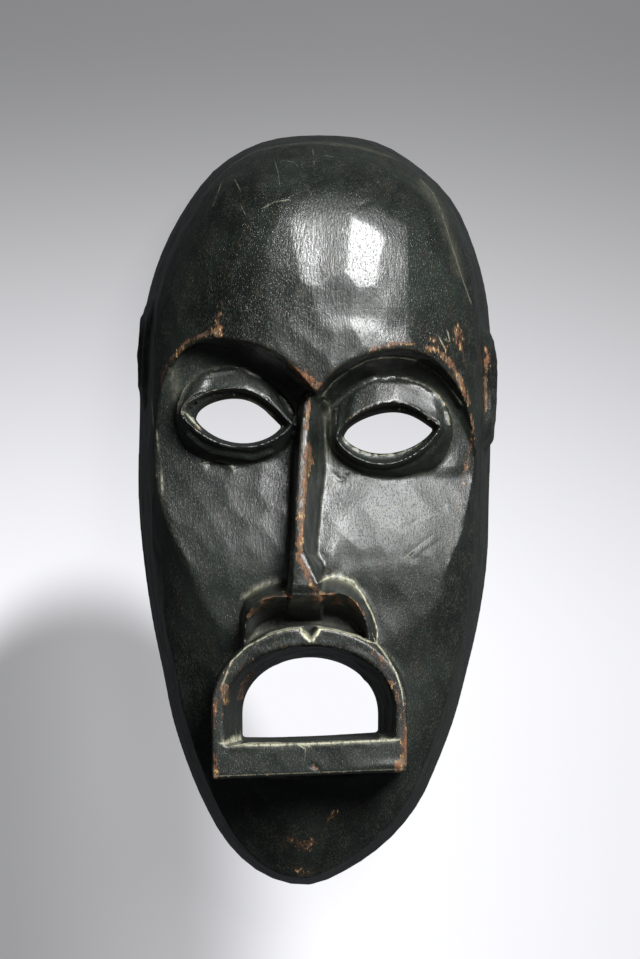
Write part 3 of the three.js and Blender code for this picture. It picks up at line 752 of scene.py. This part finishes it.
# %% Helpers for the finishes
def linear(code):
    """A colour such as #8a5a34 as linear values with an alpha of one."""
    parts = [int(code[k : k + 2], 16) / 255 for k in (1, 3, 5)]
    return [c / 12.92 if c < 0.04045 else ((c + 0.055) / 1.055) ** 2.4 for c in parts] + [1]


def new_finish(name):
    """An empty material with nothing in its tree."""
    made = bpy.data.materials.new(name)
    made.use_nodes = True
    made.node_tree.nodes.clear()
    return made


def add(kind, inputs, output=None, **settings):
    """Adds a node to the tree at hand. Inputs go by name or in order, and an output comes back."""
    made = tree.nodes.new("ShaderNode" + kind)
    for name, value in settings.items():
        setattr(made, name, value)
    shown = [socket for socket in made.inputs if socket.enabled]
    if isinstance(inputs, dict):
        named = {socket.name: socket for socket in reversed(shown)}
        pairs = [(named[name], value) for name, value in inputs.items()]
    else:
        pairs = zip(shown, inputs)
    for socket, value in pairs:
        if isinstance(value, bpy.types.NodeSocket):
            tree.links.new(value, socket)
        else:
            socket.default_value = value
    if output:
        return made.outputs[output]
    return next((socket for socket in made.outputs if socket.enabled), None)


# A map range that eases in and out, and a mix of colours instead of numbers.
SMOOTH = {"interpolation_type": "SMOOTHSTEP"}
COLOUR = {"data_type": "RGBA"}
print("a test colour:", [round(v, 3) for v in linear("#8a5a34")])

# %% [markdown]
# ## Light wood, oil paint and dust
# The wood is soft and pale, and turns orange-brown where hands have oiled it. On it lies a thin
# dark green oil paint, brushed along the grain, with a low gloss that hides little of the grain.
# Dust is a matt pale film in the creases, and its colour also paints a few thin highlights. Each
# layer is a colour and a roughness, and the maps
# with some noise decide which layer shows.

# %% The maps and the noises
finish = new_finish("oil_painted_soft_wood")
tree = finish.node_tree
place = add("TexCoord", (), "Object")
MAPS = ("worn", "dust_and_glints", "matt", "inside", "line_side", "line_strength")
stored = {name: add("Attribute", (), "Fac", attribute_name=name) for name in MAPS}
# Each noise has features of so many mm across and along the grain, and so much detail.
NOISES = {
    # Grain lines lie about half a millimetre apart and run on for centimetres.
    "grain": (0.7, 14, 3.0),
    # Brush marks and open pores are short dashes along the grain.
    "dashes": (0.45, 1.3, 4.0),
    "pores": (0.6, 1.1, 2.0),
    # Thick and thin paint, patches of oiled wood, ragged edges of the paint, and single flecks.
    "clouds": (26, 40, 3.0),
    "patches": (5, 9, 3.0),
    "ragged": (1.3, 3.6, 5.0),
    "specks": (0.55, 0.7, 2.0),
}
noises = {}
for name, (across, length, detail) in NOISES.items():
    size = (1 / (across * MM), 1 / (length * MM), 1 / (across * MM))
    where = add("Mapping", {"Vector": place, "Scale": size})
    noises[name] = add("TexNoise", {"Vector": where, "Scale": 1.0, "Detail": detail})
grain, dashes, pores, clouds, patches, ragged, specks = noises.values()
print("maps and noises:", len(stored), len(noises))

# %% [markdown]
# ## Bare wood
# Where the paint is gone, old wood shows: brown along its grain lines and tan between them,
# orange-brown where it took up oil, pale where it was rubbed last, and dark in its pores. A
# picture of wood would show seams on a rounded face. Layers of noise have none.

# %% The colours of the wood
between_lines = add("MapRange", (grain, 0.36, 0.64), **SMOOTH)
wood = add("Mix", (between_lines, linear("#3a291c"), linear("#5f4a33")), **COLOUR)
oiled = add("MapRange", (patches, 0.46, 0.62, 0.0, 0.7), **SMOOTH)
wood = add("Mix", (oiled, wood, linear("#633a1b")), **COLOUR)
fresh = add("MapRange", (ragged, 0.6, 0.68, 0.0, 0.7), **SMOOTH)
wood = add("Mix", (fresh, wood, linear("#a8905f")), **COLOUR)
dark_pores = add("MapRange", (pores, 0.54, 0.62, 0.0, 0.9), **SMOOTH)
wood = add("Mix", (dark_pores, wood, linear("#2a2019")), **COLOUR)
# Inside, the wood was never painted, and has darkened with age.
between_lines = add("MapRange", (grain, 0.35, 0.65), **SMOOTH)
gouged = add("Mix", (between_lines, linear("#33261b"), linear("#57412e")), **COLOUR)
print("nodes with the wood:", len(tree.nodes))

# %% [markdown]
# ## Dark green paint
# The paint is nearly black, greener where it is thick and brown where it is thin. One flat colour
# would look like plastic, so the thickness and the rubbing each follow a noise of their own.

# %% The colours of the paint
thick = add("MapRange", (clouds, 0.35, 0.65), **SMOOTH)
paint = add("Mix", (thick, linear("#0b0e0c"), linear("#161b18")), **COLOUR)
thin_paint = add("MapRange", (patches, 0.56, 0.72, 0.0, 0.6), **SMOOTH)
paint = add("Mix", (thin_paint, paint, linear("#1e1812")), **COLOUR)
# The grain's high lines are rubbed to a grey green, in short dashes, with a few pale flecks.
rubbed = add("MapRange", (dashes, 0.46, 0.72, 0.0, 0.5), **SMOOTH)
in_patches = add("MapRange", (patches, 0.35, 0.6, 0.3, 1.0), **SMOOTH)
rubbed = add("Math", (rubbed, in_patches), operation="MULTIPLY")
paint = add("Mix", (rubbed, paint, linear("#41473f")), **COLOUR)
flecks = add("MapRange", (specks, 0.72, 0.8, 0.0, 0.5), **SMOOTH)
paint = add("Mix", (flecks, paint, linear("#7b7f70")), **COLOUR)
print("nodes with the paint:", len(tree.nodes))

# %% [markdown]
# ## Scratches, dusty creases and painted highlights
# A thin line is full up to half its width, fades beyond it, and breaks off here and there. The
# stored side gives the distance from its middle, and the ragged noise breaks it.

# %% The thin lines
either_side = add("Math", (stored["line_side"],), operation="ABSOLUTE")
thin_line = add("MapRange", (either_side, 1.5, 0.5), **SMOOTH)
broken = add("MapRange", (ragged, 0.36, 0.52, 0.25, 1.0), **SMOOTH)
thin_line = add("Math", (thin_line, broken), operation="MULTIPLY")
thin_line = add("Math", (thin_line, stored["line_strength"]), operation="MULTIPLY")
print("nodes with the thin lines:", len(tree.nodes))

# %% [markdown]
# ## Ragged edges of the paint
# Worn paint ends in a ragged edge with a brown stain beside it, but the map of wear is smooth. So
# two noises are added to it before it is cut off, and the stain is cut off a little lower.

# %% Where the paint is worn through
off_middle = add("Math", (ragged, 0.5), operation="SUBTRACT")
edge = add("Math", (off_middle, 1.7, stored["worn"]), operation="MULTIPLY_ADD")
off_middle = add("Math", (pores, 0.5), operation="SUBTRACT")
edge = add("Math", (off_middle, 0.7, edge), operation="MULTIPLY_ADD")
stained = add("MapRange", (edge, 0.24, 0.5, 0.0, 0.8), **SMOOTH)
bare = add("MapRange", (edge, 0.52, 0.62), **SMOOTH)
touched = add("MapRange", (stored["worn"], 0.03, 0.15), **SMOOTH)
bare = add("Math", (bare, touched), operation="MULTIPLY")
dust_and_highlights = add("MapRange", (ragged, 0.3, 0.62, 0.3, 1.0), **SMOOTH)
dust_and_highlights = add("Math", (stored["dust_and_glints"], dust_and_highlights), operation="MULTIPLY")
dust_and_highlights = add("Math", (dust_and_highlights, thin_line), operation="MAXIMUM")
print("nodes with the wear and the dust:", len(tree.nodes))

# %% [markdown]
# ## One layer over another
# Stain, bare wood, the wood inside, and the dust with the painted highlights lie over the paint in
# this order. Colour and
# roughness are mixed by the same shares, which gives soft bounds without a second material.

# %% The layers
colour = add("Mix", (stained, paint, linear("#30231a")), **COLOUR)
colour = add("Mix", (bare, colour, wood), **COLOUR)
colour = add("Mix", (stored["inside"], colour, gouged), **COLOUR)
# The pale dust colour also paints the highlights on the ledge, the left eye's bevel and the beads.
colour = add("Mix", (dust_and_highlights, colour, linear("#a9a890")), **COLOUR)
# Oil paint starts at about 0.3. Soot and dust have no gloss, and bare wood has little.
rough = add("MapRange", (clouds, 0.3, 0.7, 0.28, 0.34), **SMOOTH)
dull, within = stored["matt"], stored["inside"]
LAYERS = [(dull, 0.9), (rubbed, 0.48), (bare, 0.72), (dust_and_highlights, 0.9), (within, 0.7)]
for layer, value in LAYERS:
    rough = add("Mix", (layer, rough, value))
print("layers of roughness:", len(LAYERS))

# %% [markdown]
# ## Brush marks and open grain
# Brush marks and pores are less than a tenth of a millimetre deep, too fine for faces. A bump
# tilts the skin's directions instead, and the light shows no more of them than that.

# %% The relief of the brush and the grain
# (noise, depth in mm).
pitted = add("MapRange", (pores, 0.58, 0.68, 1.0, 0.0), **SMOOTH)
RELIEF = [(dashes, 0.07), (pitted, 0.05), (ragged, 0.09), (grain, 0.08)]
relief = None
for height, depth in RELIEF:
    inputs = {"Height": height, "Distance": depth * MM, "Strength": 1.0}
    if relief:
        inputs["Normal"] = relief
    relief = add("Bump", inputs)
inputs = {"Base Color": colour, "Roughness": rough, "Normal": relief, "IOR": 1.5}
shader = add("BsdfPrincipled", inputs)
add("OutputMaterial", {"Surface": shader})
carving.data.materials.clear()
carving.data.materials.append(finish)
print("nodes in the finish:", len(tree.nodes))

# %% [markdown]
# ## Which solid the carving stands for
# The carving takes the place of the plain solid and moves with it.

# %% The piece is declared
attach(carving, "root")
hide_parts("mask")
print("declared:", carving.name)

# %% [markdown]
# ## A pale light table
# The mask lies on a sheet that glows from below, so that its eyes and mouth read bright. The glow
# could be a lamp under real glass, but a few nodes on a flat sheet are quicker and less noisy.

# %% The table
table_mesh = bmesh.new()
bmesh.ops.create_grid(table_mesh, x_segments=1, y_segments=1, size=1.2)
floor = bpy.data.objects.new("table", bpy.data.meshes.new("table"))
table_mesh.to_mesh(floor.data)
table_mesh.free()
floor.location.z = -0.2 * MM
bpy.context.scene.collection.objects.link(floor)
# The paint mirrors the dim room, and not the glow of the table.
floor.visible_glossy = False
print("table side in m:", round(floor.dimensions.x, 1))

# %% The glow of the sheet
# It is strongest below the middle and dims towards the top. Distances are in metres.
sheet = new_finish("pale_acrylic_sheet")
tree = sheet.node_tree
place = add("TexCoord", (), "Object")
wide = add("Mapping", {"Vector": place, "Scale": (0.35, 1, 1), "Location": (0.0, 0.15, 0)})
away = add("VectorMath", (wide, (0, 0, 0)), "Value", operation="DISTANCE")
glow = add("MapRange", (away, 0.075, 0.39, 1.06, 0.2), **SMOOTH)
across = add("SeparateXYZ", (place,), "X")
up = across.node.outputs["Y"]
to_the_right = add("MapRange", (across, 0.02, 0.2, 1.0, 0.84), **SMOOTH)
glow = add("Math", (glow, to_the_right), operation="MULTIPLY")
print("nodes with the glow:", len(tree.nodes))

# %% [markdown]
# ## A shade on the table
# A soft shade lies on the sheet at the lower left. Its top edge is clear and slightly bowed. Two
# ramps, one for each edge, are multiplied, which is simpler than an object that casts it.

# %% The shade at the lower left
bow = add("Math", (across, 0.105), operation="ADD")
bow = add("Math", (bow, 2.0), operation="POWER")
bow = add("Math", (bow, 10.0), operation="MULTIPLY")
bowed = add("Math", (up, bow), operation="ADD")
top_edge = add("MapRange", (bowed, -0.018, -0.058), **SMOOTH)
right_edge = add("MapRange", (across, 0.005, -0.065), **SMOOTH)
shade = add("Math", (top_edge, right_edge), operation="MULTIPLY")
depth = add("MapRange", (across, -0.16, -0.05, 0.71, 0.56), **SMOOTH)
shade = add("Math", (shade, depth), operation="MULTIPLY")
lit = add("Math", (1.0, shade), operation="SUBTRACT")
inputs = {
    "Base Color": linear("#19191a"),
    "Roughness": 0.9,
    "Emission Color": linear("#f4f4f8"),
    "Emission Strength": add("Math", (glow, lit), operation="MULTIPLY"),
}
shader = add("BsdfPrincipled", inputs)
add("OutputMaterial", {"Surface": shader})
floor.data.materials.append(sheet)
print("nodes in the sheet:", len(tree.nodes))

# %% [markdown]
# ## A large soft light
# A large soft light stands above the crown, a little to the right. It grazes the forehead, leaves
# the wood under the brows dark and lights the lids. A weak one at the left opens the shadows.

# %% The lights
MASK_MIDDLE = Vector((0, 0.01, 0.05))


def soft_light(name, direction, distance, size, power):
    """An area light that looks at the mask's middle, with lengths in metres and power in watts."""
    data = bpy.data.lights.new(name, "AREA")
    data.shape = "RECTANGLE"
    data.size, data.size_y = size
    data.energy = power
    lamp = bpy.data.objects.new(name, data)
    way = Vector(direction).normalized()
    lamp.location = MASK_MIDDLE + way * distance
    lamp.rotation_euler = way.to_track_quat("Z", "Y").to_euler()
    bpy.context.scene.collection.objects.link(lamp)
    print(name, "light at", [round(v, 2) for v in lamp.location])


soft_light("key", (0.34, 0.46, 0.80), 1.3, (0.45, 0.45), 52)
soft_light("fill", (-0.5, -0.2, 0.9), 1.6, (0.8, 0.8), 0.6)

# %% [markdown]
# ## A dim room
# Glossy paint mirrors the room as much as the lamps. The room is dim above the table and on its
# left, and a little brighter low down, which lights the sides of the mask.

# %% The room
world = bpy.data.worlds.new("room")
world.use_nodes = True
tree = world.node_tree
way = add("TexCoord", (), "Generated")
above = add("SeparateXYZ", (way,), "Z")
aside = above.node.outputs["X"]
room = add("MapRange", (above, -0.35, 0.3, 0.10, 0.045), **SMOOTH)
darker_left = add("MapRange", (aside, -0.9, 0.2, 0.4, 1.0), **SMOOTH)
room = add("Math", (room, darker_left), operation="MULTIPLY")
tree.nodes["Background"].inputs["Color"].default_value = (0.9, 0.93, 1, 1)
tree.links.new(room, tree.nodes["Background"].inputs["Strength"])
bpy.context.scene.world = world
bpy.context.scene.view_settings.view_transform = "Standard"
print("nodes in the room:", len(tree.nodes))

# %% [markdown]
# ## The camera
# The photograph looks straight at the face, so the camera hangs straight over the mask. A long
# lens from afar shows the face as flat as the photograph does.

# %% The camera
# The place in mm, and the lens and the sensor's width in mm.
CAMERA_PLACE = (1.276, 13.82, 1500)
LENS, SENSOR = 124.2, 36
data = bpy.data.cameras.new("camera")
data.sensor_width = SENSOR
data.lens = LENS
camera = bpy.data.objects.new("camera", data)
camera.location = [v * MM for v in CAMERA_PLACE]
bpy.context.scene.collection.objects.link(camera)
bpy.context.scene.camera = camera
print("camera height in m:", round(camera.location.z, 2))
